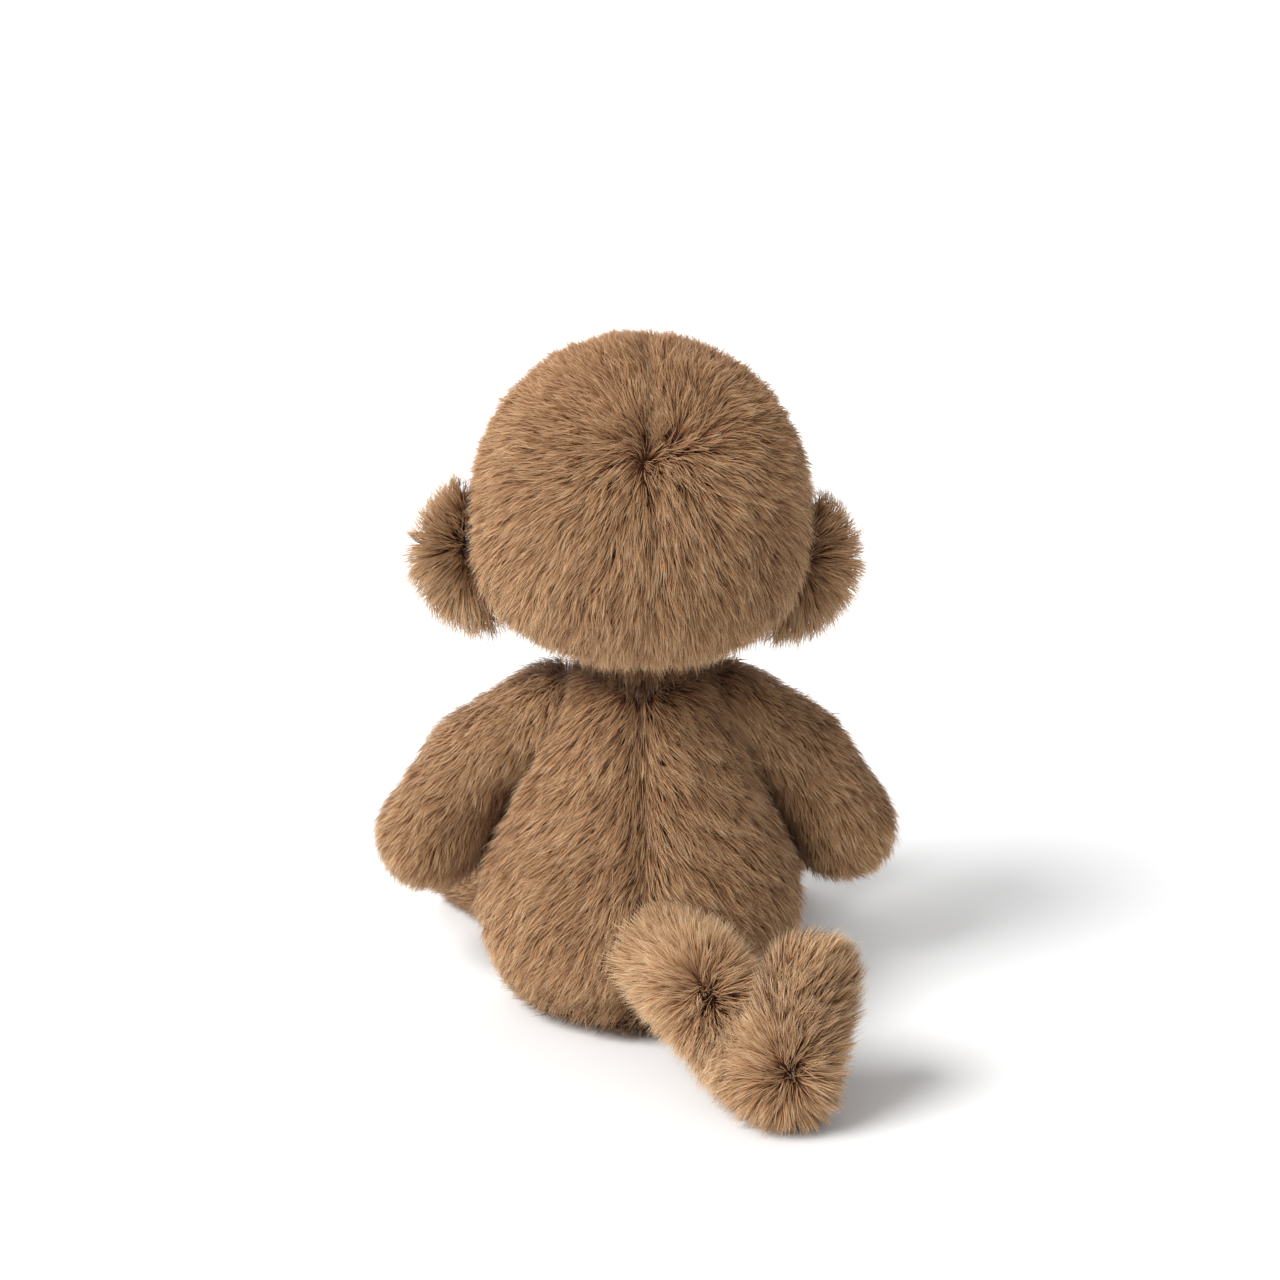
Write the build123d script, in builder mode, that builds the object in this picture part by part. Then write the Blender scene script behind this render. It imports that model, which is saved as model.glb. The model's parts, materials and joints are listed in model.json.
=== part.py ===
from build123d import *
import math
import os

# A sitting plush monkey, in millimetres.
# The origin is the middle of the flat seat, on the surface that the toy sits on.
# +Z is up and the face looks along -Y, so the monkey's own left is +X.
# Every cover is the cloth with its pile pressed flat; long pile stands a little proud of it.

os.makedirs("parts", exist_ok=True)

# ---- Cloth and clearances
cover_thickness = 4.0
ear_cloth = 3.0
bag_cloth = 1.0
body_gap = 0.45        # between pieces that move on each other
stem_gap = 0.1         # round an eye's stem, where it passes through cloth
mouth_start = 0.5      # how far back a socket's mouth starts, as a share of the way to its ball's side
skin_step = 0.995      # a limb's cones are this share of its balls, so that the two meet cleanly

# ---- Torso: a round belly on a flat seat, and a cone that runs up from it to the neck
belly_radius = 57.5    # the torso at its widest
belly_height = 38.0
belly_round = 44.3     # the outline's own radius there
neck_edge_radius = 23.0
torso_top = 128.0
seat_panel_height = 5.0
side_seam_y = -13.0    # where the back panels meet the belly panel

# ---- Pellet bag in the seat
bag_radius = 24.0
bag_height = 18.0
bag_floor = 6.0
bag_y = 4.0
bag_round = 7.0

# ---- Head: a ball on a short upright band, with full round cheeks under it
head_above_pivot = 49.0
head_radius = 58.8
head_top = 58.0
head_bottom = -57.0
cheek_round = 43.0
head_roll = 3.5        # the monkey's right ear is lower
head_turn = 2.0

# ---- Neck
neck_radius = 13.0
neck_depth = 18.0      # how far it goes down into the torso
neck_rise = 14.0       # from the torso's top to the middle of its ball
neck_ball_radius = 15.0
neck_opening_radius = 17.0

# ---- Face
mask_width = 76.0
mask_height = 66.0
mask_z = -9.0
mask_start = 30.0      # how far in front of the side seam the mask can begin
muzzle_half_width = 25.0
muzzle_half_height = 18.0
muzzle_sunk = 6.8      # how far its middle lies inside the head
muzzle_z = -23.0
nose_half_width = 7.5
nose_half_height = 5.0
nose_forward = 8.7     # its middle, in front of the head
nose_z = -14.0
mouth_half_width = 9.0
mouth_end_forward = 8.2
mouth_end_z = -26.0
mouth_middle_forward = 10.7
mouth_middle_z = -30.5
mouth_thread_radius = 0.9
eye_radius = 5.8
eye_bulge = 4.6
eye_spread = 20.0      # degrees from the middle of the face
eye_z = 5.0
eye_stem_radius = 1.7
washer_radius = 7.5
washer_thickness = 1.8
washer_set_back = 0.8  # the washer is flat and the cloth is curved

# ---- Ears
ear_radius = 27.0
ear_thickness = 13.0
ear_sunk = 8.3         # how far the middle of its disc lies inside the head
ear_centre_z = -21.0
ear_hinge_outside = 0.2
ear_fold = 18.0        # degrees, each way

# ---- Arms: shoulder, elbow and paw
shoulder_outside_neck = 8.0
shoulder_y = -8.0
shoulder_drop = 17.0   # under the torso's top
elbow_outside_belly = 2.5
elbow_forward = 6.0    # in front of the shoulder
elbow_drop = 22.0      # under the shoulder
paw_outside_belly = 19.5
paw_forward = 9.0
paw_drop = 53.0
shoulder_radius = 16.5
elbow_radius = 17.5
paw_radius = 19.5

# ---- Legs: hip and heel lie on the surface, and the toe stands up
hip_inside_belly = 1.9
hip_bearing = 37.7     # degrees from straight ahead
hip_radius = 18.0
heel_distance = 52.0
heel_radius = 19.5
toe_forward = 6.0
toe_rise = 15.0
toe_radius = 16.8
left_splay = 30.0
right_splay = 20.0
leg_lift = 45.0
sole_depth = 7.0

# ---- Tail: a plump root, a waist where it comes down to the surface, and a curl that stands up
tail_root_x = -4.0
tail_root_inside_belly = 1.5
tail_root_rise = 1.0   # above the belly's widest height
tail_steps = [(0, 0, 0), (-12, 22, -3), (-26, 43, -20.5), (-39, 57, -22), (-48, 50, 10)]
tail_radii = [15.5, 17.3, 13.2, 16.5, 14.0]
tail_swing_to_left = 45.0
tail_swing_to_right = 8.0

# ---- Values that follow from those above
neck_foot = torso_top - neck_depth
neck_pivot_z = torso_top + neck_rise
head_centre = (0, 0, neck_pivot_z + head_above_pivot)
ear_centre_x = head_radius - ear_sunk
ear_hinge_x = head_radius + ear_hinge_outside
muzzle_centre = (0, muzzle_sunk - head_radius, muzzle_z)
nose_centre = (0, -head_radius - nose_forward, nose_z)
mouth_end_y = -head_radius - mouth_end_forward
mouth_middle = (0, -head_radius - mouth_middle_forward, mouth_middle_z)
mouth_points = [
    (-mouth_half_width, mouth_end_y, mouth_end_z),
    mouth_middle,
    (mouth_half_width, mouth_end_y, mouth_end_z),
]
shoulder_z = torso_top - shoulder_drop
shoulder = (neck_edge_radius + shoulder_outside_neck, shoulder_y, shoulder_z)
elbow = (belly_radius + elbow_outside_belly, shoulder_y - elbow_forward, shoulder_z - elbow_drop)
paw = (belly_radius + paw_outside_belly, shoulder_y - paw_forward, shoulder_z - paw_drop)
hip_distance = belly_radius - hip_inside_belly
hip_x = hip_distance * math.sin(math.radians(hip_bearing))
hip_y = -hip_distance * math.cos(math.radians(hip_bearing))
tail_root = (tail_root_x, belly_radius - tail_root_inside_belly, belly_height + tail_root_rise)
tail_points = [tuple(start + step for start, step in zip(tail_root, steps)) for steps in tail_steps]

head_frame = Location(head_centre, (0, -head_roll, head_turn))
head_axis = Plane(head_frame).z_dir
head_origin = Vector(*head_centre)


def sideways(point, side):
    """The point on the monkey's left (side 1) or its mirror image on the right (side -1)."""
    return (side * point[0], point[1], point[2])


def keep(piece, label):
    """Name a finished piece and write it to its own file."""
    piece.part.label = label
    export_step(piece.part, f"parts/{label}.step")


def limb(points, radii, inset=0.0):
    """A rounded, tapering form through the points: a ball at each and a cone between two."""
    with BuildPart() as form:
        for near, far, near_radius, far_radius in zip(points, points[1:], radii, radii[1:]):
            start = Vector(*near)
            along = Vector(*far) - start
            with Locations(Plane(origin=start, z_dir=along)):
                Sphere(near_radius - inset)
            with Locations(Plane(origin=start + along * 0.5, z_dir=along)):
                Cone((near_radius - inset) * skin_step, (far_radius - inset) * skin_step, along.length)
        with Locations(Plane(origin=points[-1], z_dir=along)):
            Sphere(radii[-1] - inset)
    return form.part


def pear(inset=0.0):
    """The torso before anything is let into it."""
    centre = Vector(belly_radius - belly_round, belly_height)
    to_neck = Vector(neck_edge_radius, torso_top) - centre
    lean = math.atan2(to_neck.Y, to_neck.X) - math.acos(belly_round / to_neck.length)
    shoulder_line = Vector(-math.sin(lean), math.cos(lean))
    rounding = belly_round - inset
    seat_angle = -math.asin((belly_height - inset) / rounding)
    tangent_point = centre + Vector(math.cos(lean), math.sin(lean)) * rounding
    rise = (torso_top - inset - tangent_point.Y) / shoulder_line.Y
    with BuildPart() as form:
        with BuildSketch(Plane.XZ):
            with BuildLine():
                belly = CenterArc(centre, rounding, math.degrees(seat_angle), math.degrees(lean - seat_angle))
                neck_edge = tangent_point + shoulder_line * rise
                Polyline(belly @ 1, neck_edge, (0, torso_top - inset), (0, inset), belly @ 0)
            make_face()
        revolve(axis=Axis.Z)
    return form.part


def ball_head(inset=0.0):
    """The head before the neck is let into it. A negative inset makes it larger."""
    radius = head_radius - inset
    crown_centre = head_top - head_radius
    cheek_centre = head_bottom + cheek_round
    with BuildPart() as form:
        with BuildSketch(Plane(head_frame * Location((0, 0, 0), (90, 0, 0)))):
            with BuildLine():
                crown = CenterArc((0, crown_centre), radius, 0, 90)
                cheek = CenterArc((head_radius - cheek_round, cheek_centre), cheek_round - inset, -90, 90)
                Line(cheek @ 1, crown @ 0)
                Polyline(crown @ 1, (0, head_bottom + inset), cheek @ 0)
            make_face()
        revolve(axis=Axis(head_origin, head_axis))
    return form.part


def egg(half_length, half_height, centre):
    """An ellipsoid on the head, long from side to side."""
    frame = head_frame * Location(centre)
    with BuildPart() as form:
        with BuildSketch(Plane(frame)):
            Ellipse(half_length, half_height)
            with Locations((0, half_height / 2)):
                Rectangle(2 * half_length, half_height, mode=Mode.INTERSECT)
        revolve(axis=Axis(Plane(frame).origin, Plane(frame).x_dir))
    return form.part


def arm_points(side):
    return [sideways(point, side) for point in (shoulder, elbow, paw)]


def arm_radii():
    return [shoulder_radius, elbow_radius, paw_radius]


def armhole(side, margin):
    """The room that an upper arm needs as it swings about the line across the shoulders."""
    across = Plane(origin=(0, shoulder[1], shoulder[2]), x_dir=(side, 0, 0), z_dir=(0, -side, 0))
    reach = math.hypot(elbow[1] - shoulder[1], elbow[2] - shoulder[2])
    widest = 4 * elbow_radius
    with BuildPart() as room:
        with BuildSketch(across):
            with Locations((shoulder[0], 0)):
                Circle(shoulder_radius + margin)
            with Locations((elbow[0], reach * side)):
                Circle(elbow_radius + margin)
            make_hull()
            with Locations((elbow[0], widest / 2 * side)):
                Rectangle(2 * widest, widest, mode=Mode.INTERSECT)
        revolve(axis=Axis(across.origin, across.x_dir))
    return room.part


def flared_socket(centre, radius, outward, half_swing):
    """A round socket whose mouth is wide enough for a limb that swings half_swing each way."""
    tilt = math.radians(half_swing)
    back = radius * math.sin(tilt) * mouth_start
    depth = 2 * radius
    narrow = radius / math.cos(tilt) - back * math.tan(tilt)
    wide = radius / math.cos(tilt) + depth * math.tan(tilt)
    with BuildPart() as socket:
        with Locations(Plane(origin=centre, z_dir=outward)):
            Sphere(radius)
        with Locations(Plane(origin=Vector(*centre) + outward * ((depth - back) / 2), z_dir=outward)):
            Cone(narrow, wide, depth + back)
    return socket.part


def leg_points(side):
    splay = math.radians(left_splay if side > 0 else right_splay)
    forward = (side * math.sin(splay), -math.cos(splay))
    hip = (side * hip_x, hip_y, heel_radius)
    heel = (hip[0] + heel_distance * forward[0], hip_y + heel_distance * forward[1], heel_radius)
    toe = (heel[0] + toe_forward * forward[0], heel[1] + toe_forward * forward[1], heel_radius + toe_rise)
    return [hip, heel, toe]


def leg_radii():
    return [hip_radius, heel_radius, toe_radius]


def leg_room(side, margin):
    """The socket of a leg, opened half way between lying flat and lifted."""
    hip, heel = leg_points(side)[:2]
    half_lift = math.radians(leg_lift / 2)
    flat = (Vector(*heel) - Vector(*hip)).normalized()
    outward = Vector(flat.X, flat.Y * math.cos(half_lift), -flat.Y * math.sin(half_lift))
    return flared_socket(hip, hip_radius + margin, outward, leg_lift / 2)


def tail_room(margin):
    """The socket of the tail, opened half way between its limits and for the tail's own widening."""
    root = Vector(*tail_points[0])
    start = Vector(*tail_points[1]) - root
    outward = start.rotate(Axis.Z, (tail_swing_to_right - tail_swing_to_left) / 2).normalized()
    half_swing = (tail_swing_to_right + tail_swing_to_left) / 2
    widening = math.degrees(math.asin((tail_radii[1] - tail_radii[0]) / start.length))
    return flared_socket(tail_points[0], tail_radii[0] + margin, outward, half_swing + max(widening, 0))


def rooms_in_torso(margin):
    """Everything that is let into the torso, with the same margin all round."""
    rooms = [tail_room(margin)]
    for side in (1, -1):
        rooms += [armhole(side, margin), leg_room(side, margin)]
    with BuildPart() as neck_socket:
        with BuildSketch(Plane.XY.offset(neck_foot - margin)):
            Circle(neck_radius + margin)
        extrude(amount=torso_top - neck_foot + 2 * margin)
    return rooms + [neck_socket.part]


# ==== Torso
torso_rooms = rooms_in_torso(body_gap)
with BuildPart() as torso:
    add(pear())
    add(torso_rooms, mode=Mode.SUBTRACT)

with BuildPart() as torso_inside:
    add(pear(cover_thickness))
    add(rooms_in_torso(body_gap + cover_thickness), mode=Mode.SUBTRACT)

with BuildPart() as torso_skin:
    add(torso.part)
    add(torso_inside.part, mode=Mode.SUBTRACT)

with BuildPart() as body_seat:
    add(torso_skin.part)
    split(bisect_by=Plane.XY.offset(seat_panel_height), keep=Keep.BOTTOM)
keep(body_seat, "body_seat")

with BuildPart() as body_belly:
    add(torso_skin.part)
    split(bisect_by=Plane.XY.offset(seat_panel_height), keep=Keep.TOP)
    split(bisect_by=Plane.XZ.offset(-side_seam_y), keep=Keep.TOP)
keep(body_belly, "body_belly")

for side, word in ((1, "left"), (-1, "right")):
    with BuildPart() as back:
        add(torso_skin.part)
        split(bisect_by=Plane.XY.offset(seat_panel_height), keep=Keep.TOP)
        split(bisect_by=Plane.XZ.offset(-side_seam_y), keep=Keep.BOTTOM)
        split(bisect_by=Plane.YZ, keep=Keep.TOP if side > 0 else Keep.BOTTOM)
    keep(back, f"body_back_{word}")


def bag(inset=0.0):
    """The flat round bag of pellets that weighs the seat down."""
    with BuildPart() as form:
        with BuildSketch(Plane.XY.offset(bag_floor + inset)):
            with Locations((0, bag_y)):
                Circle(bag_radius - inset)
        extrude(amount=bag_height - 2 * inset)
        fillet(form.edges().filter_by(GeomType.CIRCLE), bag_round - inset)
    return form.part


with BuildPart() as pellet_bag:
    add(bag())
    add(bag(bag_cloth), mode=Mode.SUBTRACT)
keep(pellet_bag, "pellet_bag")

with BuildPart() as bean_pellets:
    add(bag(bag_cloth))
keep(bean_pellets, "bean_pellets")

with BuildPart() as body_stuffing:
    add(torso_inside.part)
    add(bag(), mode=Mode.SUBTRACT)
keep(body_stuffing, "body_stuffing")

# ==== Neck: a firm wad, set in the torso and round at the top, where the head tips on it
with BuildPart() as neck_stuffing:
    with BuildSketch(Plane.XY.offset(neck_foot)):
        Circle(neck_radius)
    extrude(amount=neck_pivot_z - neck_foot)
    with Locations((0, 0, neck_pivot_z)):
        Sphere(neck_ball_radius)
keep(neck_stuffing, "neck_stuffing")


def neck_room(margin):
    """The neck opening under the head, and the round pocket over the neck's ball."""
    with BuildPart() as room:
        with Locations((0, 0, neck_pivot_z)):
            Sphere(neck_ball_radius + margin)
        with BuildSketch(Plane.XY.offset(torso_top)):
            Circle(neck_opening_radius + margin - body_gap)
        extrude(amount=neck_pivot_z - torso_top)
    return room.part


# ==== Head
head_whole = ball_head()
eye_frames = {}
for side, word in ((1, "left"), (-1, "right")):
    turned = head_frame * Location((0, 0, 0), (0, 0, side * eye_spread))
    eye_rise = math.asin((eye_z - head_top + head_radius) / head_radius)
    eye_place = (0, -head_radius * math.cos(eye_rise), eye_z)
    eye_frames[word] = turned * Location(eye_place, (90 - math.degrees(eye_rise), 0, 0))

stem_length = cover_thickness + washer_set_back + washer_thickness
with BuildPart() as stem_holes:
    for word in ("left", "right"):
        with Locations(eye_frames[word] * Location((0, 0, -stem_length / 2))):
            Cylinder(eye_stem_radius + stem_gap, 2 * stem_length)

with BuildPart() as washer_rooms:
    for word in ("left", "right"):
        with Locations(eye_frames[word] * Location((0, 0, washer_thickness / 2 - stem_length))):
            Cylinder(washer_radius, washer_thickness)

with BuildPart() as head_inside:
    add(ball_head(cover_thickness))
    add(neck_room(body_gap + cover_thickness), mode=Mode.SUBTRACT)

with BuildPart() as head_skin:
    add(head_whole)
    add(neck_room(body_gap), mode=Mode.SUBTRACT)
    add(head_inside.part, mode=Mode.SUBTRACT)

with BuildPart() as head_stuffing:
    add(head_inside.part)
    add([stem_holes.part, washer_rooms.part], mode=Mode.SUBTRACT)
keep(head_stuffing, "head_stuffing")

head_side_seam = Plane(head_frame * Location((0, 0, 0), (90, 0, 0)))
head_middle_seam = Plane(head_frame * Location((0, 0, 0), (0, 90, 0)))
for side, word in ((1, "left"), (-1, "right")):
    with BuildPart() as back:
        add(head_skin.part)
        split(bisect_by=head_side_seam, keep=Keep.BOTTOM)
        split(bisect_by=head_middle_seam, keep=Keep.TOP if side > 0 else Keep.BOTTOM)
    keep(back, f"head_back_{word}")

with BuildPart() as mask_room:
    with BuildSketch(head_side_seam.offset(mask_start)):
        with Locations((0, mask_z)):
            Ellipse(mask_width / 2, mask_height / 2)
    extrude(amount=head_radius)

with BuildPart() as head_front:
    add(head_skin.part)
    split(bisect_by=head_side_seam, keep=Keep.TOP)
    add(mask_room.part, mode=Mode.SUBTRACT)
keep(head_front, "head_front")

with BuildPart() as face_mask:
    add(head_skin.part)
    add(mask_room.part, mode=Mode.INTERSECT)
    add(stem_holes.part, mode=Mode.SUBTRACT)
keep(face_mask, "face_mask")

# ==== Muzzle, nose and mouth
muzzle_outside = egg(muzzle_half_width, muzzle_half_height, muzzle_centre)
muzzle_inside = egg(muzzle_half_width - cover_thickness, muzzle_half_height - cover_thickness, muzzle_centre)

with BuildPart() as muzzle_cover:
    add(muzzle_outside)
    add([muzzle_inside, head_whole], mode=Mode.SUBTRACT)
keep(muzzle_cover, "muzzle_cover")

with BuildPart() as muzzle_stuffing:
    add(muzzle_inside)
    add(head_whole, mode=Mode.SUBTRACT)
keep(muzzle_stuffing, "muzzle_stuffing")

with BuildPart() as nose:
    add(egg(nose_half_width, nose_half_height, nose_centre))
    add(muzzle_outside, mode=Mode.SUBTRACT)
keep(nose, "nose")

mouth_places = [Plane(head_frame * Location(point)).origin for point in mouth_points]
with BuildPart() as mouth_stitches:
    with BuildLine():
        smile = ThreePointArc(*mouth_places)
    with BuildSketch(Plane(origin=smile @ 0, z_dir=smile % 0)):
        Circle(mouth_thread_radius)
    sweep()
    add([muzzle_outside, head_whole], mode=Mode.SUBTRACT)
keep(mouth_stitches, "mouth_stitches")

# ==== Eyes: a domed button in front of the cloth, its stem, and the washer that locks it behind
dome_radius = (eye_radius**2 + eye_bulge**2) / (2 * eye_bulge)
for word in ("left", "right"):
    frame = eye_frames[word]
    with BuildPart() as eye:
        with Locations(frame * Location((0, 0, eye_bulge - dome_radius))):
            Sphere(dome_radius)
        split(bisect_by=Plane(frame), keep=Keep.TOP)
        with Locations(frame * Location((0, 0, -stem_length / 2))):
            Cylinder(eye_stem_radius, stem_length)
    keep(eye, f"eye_{word}")

    with BuildPart() as washer:
        with Locations(frame * Location((0, 0, washer_thickness / 2 - stem_length))):
            Cylinder(washer_radius, washer_thickness)
            Cylinder(eye_stem_radius, washer_thickness, mode=Mode.SUBTRACT)
    keep(washer, f"eye_washer_{word}")


# ==== Ears: round pads whose root narrows to the side seam of the head
def ear_pad(side, inset=0.0):
    half = ear_thickness / 2 - inset
    reach = ear_radius - inset
    room = ball_head(-body_gap - inset)
    frame = head_frame * Location((side * ear_centre_x, 0, ear_centre_z))
    hinge = head_frame * Location((side * ear_hinge_x, 0, ear_centre_z))
    with BuildPart() as pad:
        with BuildSketch(Plane(frame)):
            with Locations((reach / 2 - half / 2, 0)):
                Rectangle(reach - half, 2 * half)
            with Locations((reach - half, 0)):
                Circle(half)
            with Locations((reach / 2, 0)):
                Rectangle(reach, 2 * half, mode=Mode.INTERSECT)
        revolve(axis=Axis(Plane(frame).origin, Plane(frame).y_dir))
        fold_axis = Axis(Plane(hinge).origin, head_axis)
        for turn in (-1, 0, 1):
            add(room.rotate(fold_axis, turn * ear_fold), mode=Mode.SUBTRACT)
    return pad.part


for side, word in ((1, "left"), (-1, "right")):
    ear_whole = ear_pad(side)
    ear_core = ear_pad(side, ear_cloth)
    for face, kept in (("front", Keep.TOP), ("back", Keep.BOTTOM)):
        with BuildPart() as ear_panel:
            add(ear_whole)
            add(ear_core, mode=Mode.SUBTRACT)
            split(bisect_by=head_side_seam, keep=kept)
        keep(ear_panel, f"ear_{word}_{face}")

    with BuildPart() as ear_wadding:
        add(ear_core)
    keep(ear_wadding, f"ear_{word}_wadding")

# ==== Arms: the seam runs along the arm, between its outer and its inner panel
for side, word in ((1, "left"), (-1, "right")):
    places = arm_points(side)
    arm_core = limb(places, arm_radii(), cover_thickness)
    along = Vector(*places[2]) - Vector(*places[0])
    arm_seam = Plane(origin=places[0], x_dir=along, z_dir=along.cross(Vector(0, 1, 0)) * side)
    for face, kept in (("outer", Keep.BOTTOM), ("inner", Keep.TOP)):
        with BuildPart() as arm_panel:
            add(limb(places, arm_radii()))
            add(arm_core, mode=Mode.SUBTRACT)
            split(bisect_by=arm_seam, keep=kept)
        keep(arm_panel, f"arm_{word}_{face}")

    with BuildPart() as arm_stuffing:
        add(arm_core)
    keep(arm_stuffing, f"arm_{word}_stuffing")

# ==== Legs: upper and lower panels, and a round sole across the end of the foot
for side, word in ((1, "left"), (-1, "right")):
    places = leg_points(side)
    leg_core = limb(places, leg_radii(), cover_thickness)
    forward = (Vector(*places[1]) - Vector(*places[0])).normalized()
    sole_plane = Plane(origin=Vector(*places[1]) + forward * (heel_radius - sole_depth), z_dir=forward)
    with BuildPart() as leg_skin:
        add(limb(places, leg_radii()))
        add(leg_core, mode=Mode.SUBTRACT)

    with BuildPart() as sole:
        add(leg_skin.part)
        split(bisect_by=sole_plane, keep=Keep.TOP)
    keep(sole, f"leg_{word}_sole")

    for face, kept in (("upper", Keep.TOP), ("lower", Keep.BOTTOM)):
        with BuildPart() as leg_panel:
            add(leg_skin.part)
            split(bisect_by=sole_plane, keep=Keep.BOTTOM)
            split(bisect_by=Plane.XY.offset(heel_radius), keep=kept)
        keep(leg_panel, f"leg_{word}_{face}")

    with BuildPart() as leg_stuffing:
        add(leg_core)
    keep(leg_stuffing, f"leg_{word}_stuffing")

# ==== Tail
with BuildPart() as tail_stuffing:
    add(limb(tail_points, tail_radii, cover_thickness))
keep(tail_stuffing, "tail_stuffing")

with BuildPart() as tail_cover:
    add(limb(tail_points, tail_radii))
    add(tail_stuffing.part, mode=Mode.SUBTRACT)
keep(tail_cover, "tail_cover")
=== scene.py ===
import json
import math

import bmesh
import bpy
import numpy as np
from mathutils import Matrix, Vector


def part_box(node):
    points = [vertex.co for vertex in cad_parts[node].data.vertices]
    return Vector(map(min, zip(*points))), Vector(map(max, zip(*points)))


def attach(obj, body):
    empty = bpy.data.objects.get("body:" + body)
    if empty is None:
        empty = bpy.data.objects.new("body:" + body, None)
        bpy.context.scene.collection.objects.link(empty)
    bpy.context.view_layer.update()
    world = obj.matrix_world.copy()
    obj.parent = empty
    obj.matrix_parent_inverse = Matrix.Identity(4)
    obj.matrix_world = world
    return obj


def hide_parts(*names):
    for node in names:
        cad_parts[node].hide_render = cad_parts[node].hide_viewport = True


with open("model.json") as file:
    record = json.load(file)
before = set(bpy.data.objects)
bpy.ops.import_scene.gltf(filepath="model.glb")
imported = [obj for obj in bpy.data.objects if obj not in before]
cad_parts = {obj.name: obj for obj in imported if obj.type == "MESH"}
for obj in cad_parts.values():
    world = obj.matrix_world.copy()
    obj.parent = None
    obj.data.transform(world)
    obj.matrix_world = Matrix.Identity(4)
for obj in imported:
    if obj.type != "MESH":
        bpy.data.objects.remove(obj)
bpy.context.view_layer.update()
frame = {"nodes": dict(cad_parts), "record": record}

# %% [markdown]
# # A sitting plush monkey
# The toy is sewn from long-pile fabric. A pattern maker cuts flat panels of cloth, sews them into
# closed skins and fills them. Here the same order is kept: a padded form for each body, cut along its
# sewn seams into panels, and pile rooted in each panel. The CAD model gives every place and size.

record = frame["record"]
MM = 0.001

# %% [markdown]
# ## Camera
# The toy is seen from behind, a little above its head, with a long lens that keeps its outline true.
# The camera is placed by its bearing, its rise and its distance from a point on the toy's axis.

# %% Camera
VIEW_BEARING = math.radians(176.5)
VIEW_RISE = math.radians(18)
VIEW_DISTANCE = 1.163
LENS = 90
camera = bpy.data.objects.new("camera", bpy.data.cameras.new("camera"))
bpy.context.scene.collection.objects.link(camera)
camera.data.lens = LENS
aim = Vector((0, 0, 0.138))
towards = Vector((math.sin(VIEW_BEARING) * math.cos(VIEW_RISE),
                  -math.cos(VIEW_BEARING) * math.cos(VIEW_RISE), math.sin(VIEW_RISE)))
camera.location = aim + towards * VIEW_DISTANCE
camera.rotation_euler = (-towards).to_track_quat("-Z", "Y").to_euler()
bpy.context.scene.camera = camera
print("camera at", [round(c, 3) for c in camera.location])

# %% [markdown]
# ## Small helpers
# Blender's operators act on whatever is selected, and a loaded model comes in selected. So each step
# first clears the selection and then names the one object it works on.


# %% Selecting, applying and measuring
def only(*objects):
    """Select these objects and nothing else; the first one is active."""
    if bpy.context.object and bpy.context.object.mode != "OBJECT":
        bpy.ops.object.mode_set(mode="OBJECT")
    bpy.ops.object.select_all(action="DESELECT")
    for ob in objects:
        ob.select_set(True)
    bpy.context.view_layer.objects.active = objects[0]


def edit_all(ob):
    """Open an object in edit mode with everything in it selected."""
    only(ob)
    bpy.ops.object.mode_set(mode="EDIT")
    bpy.ops.mesh.select_all(action="SELECT")


def close_edit():
    bpy.ops.object.mode_set(mode="OBJECT")


def add_and_apply(ob, kind, **values):
    """Give an object a modifier with these values and apply it."""
    only(ob)
    mod = ob.modifiers.new(kind.lower(), kind)
    for key, value in values.items():
        setattr(mod, key, value)
    bpy.ops.object.modifier_apply(modifier=mod.name)


def rows_of(items, key):
    """Three numbers for each item, such as a vertex's place, as an array of rows."""
    flat = np.empty(len(items) * 3, dtype=np.float32)
    items.foreach_get(key, flat)
    return flat.reshape(-1, 3).astype(float)


def points_of(ob):
    return rows_of(ob.data.vertices, "co")


def normals_of(ob):
    return rows_of(ob.data.vertex_normals, "vector")


def set_points(ob, points):
    ob.data.vertices.foreach_set("co", points.astype(np.float32).ravel())
    ob.data.update()


def unit(rows):
    return rows / np.maximum(np.linalg.norm(rows, axis=-1, keepdims=True), 1e-9)


def joint_row(name, key):
    """A joint's place or direction, from the record."""
    joint = next(j for j in record["behaviour"]["joints"] if j["name"] == name)
    return np.array(joint[key], dtype=float)


def joint_place(name):
    return joint_row(name, "pos_m")


def wrap_in_hull(ob):
    """Pull one tight skin over everything in an object."""
    edit_all(ob)
    bpy.ops.mesh.convex_hull()
    bpy.ops.mesh.select_all(action="SELECT")
    bpy.ops.mesh.normals_make_consistent(inside=False)
    close_edit()


def shade_smooth(ob):
    for polygon in ob.data.polygons:
        polygon.use_smooth = True


# %% [markdown]
# ## Studio
# A pale floor, one very soft key light high on the left, a weak lamp on the other side and an even
# pale sky. The key gives the pile its light and dark sides and a soft shadow on the floor. It is a sun
# with a wide disc, because a sun lights the whole floor evenly. The plain display curve keeps the
# floor white and the browns as warm as they are mixed.

# %% Floor and lamps
FLOOR_SIZE = 400.0
bpy.ops.object.select_all(action="DESELECT")
bpy.ops.mesh.primitive_plane_add(size=FLOOR_SIZE, location=(0, 0, 0))
floor = bpy.context.object
floor.name = "floor"


def plain_material(name, colour, roughness, **sockets):
    """A shader with constant values, ready to have patterns added to it."""
    made = bpy.data.materials.new(name)
    made.use_nodes = True
    shader = made.node_tree.nodes["Principled BSDF"]
    shader.inputs["Base Color"].default_value = (*colour, 1)
    shader.inputs["Roughness"].default_value = roughness
    for key, value in sockets.items():
        shader.inputs[key].default_value = value
    return made, made.node_tree, shader


floor.data.materials.append(plain_material("floor_paint", (0.94, 0.94, 0.94), 0.9)[0])

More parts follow.
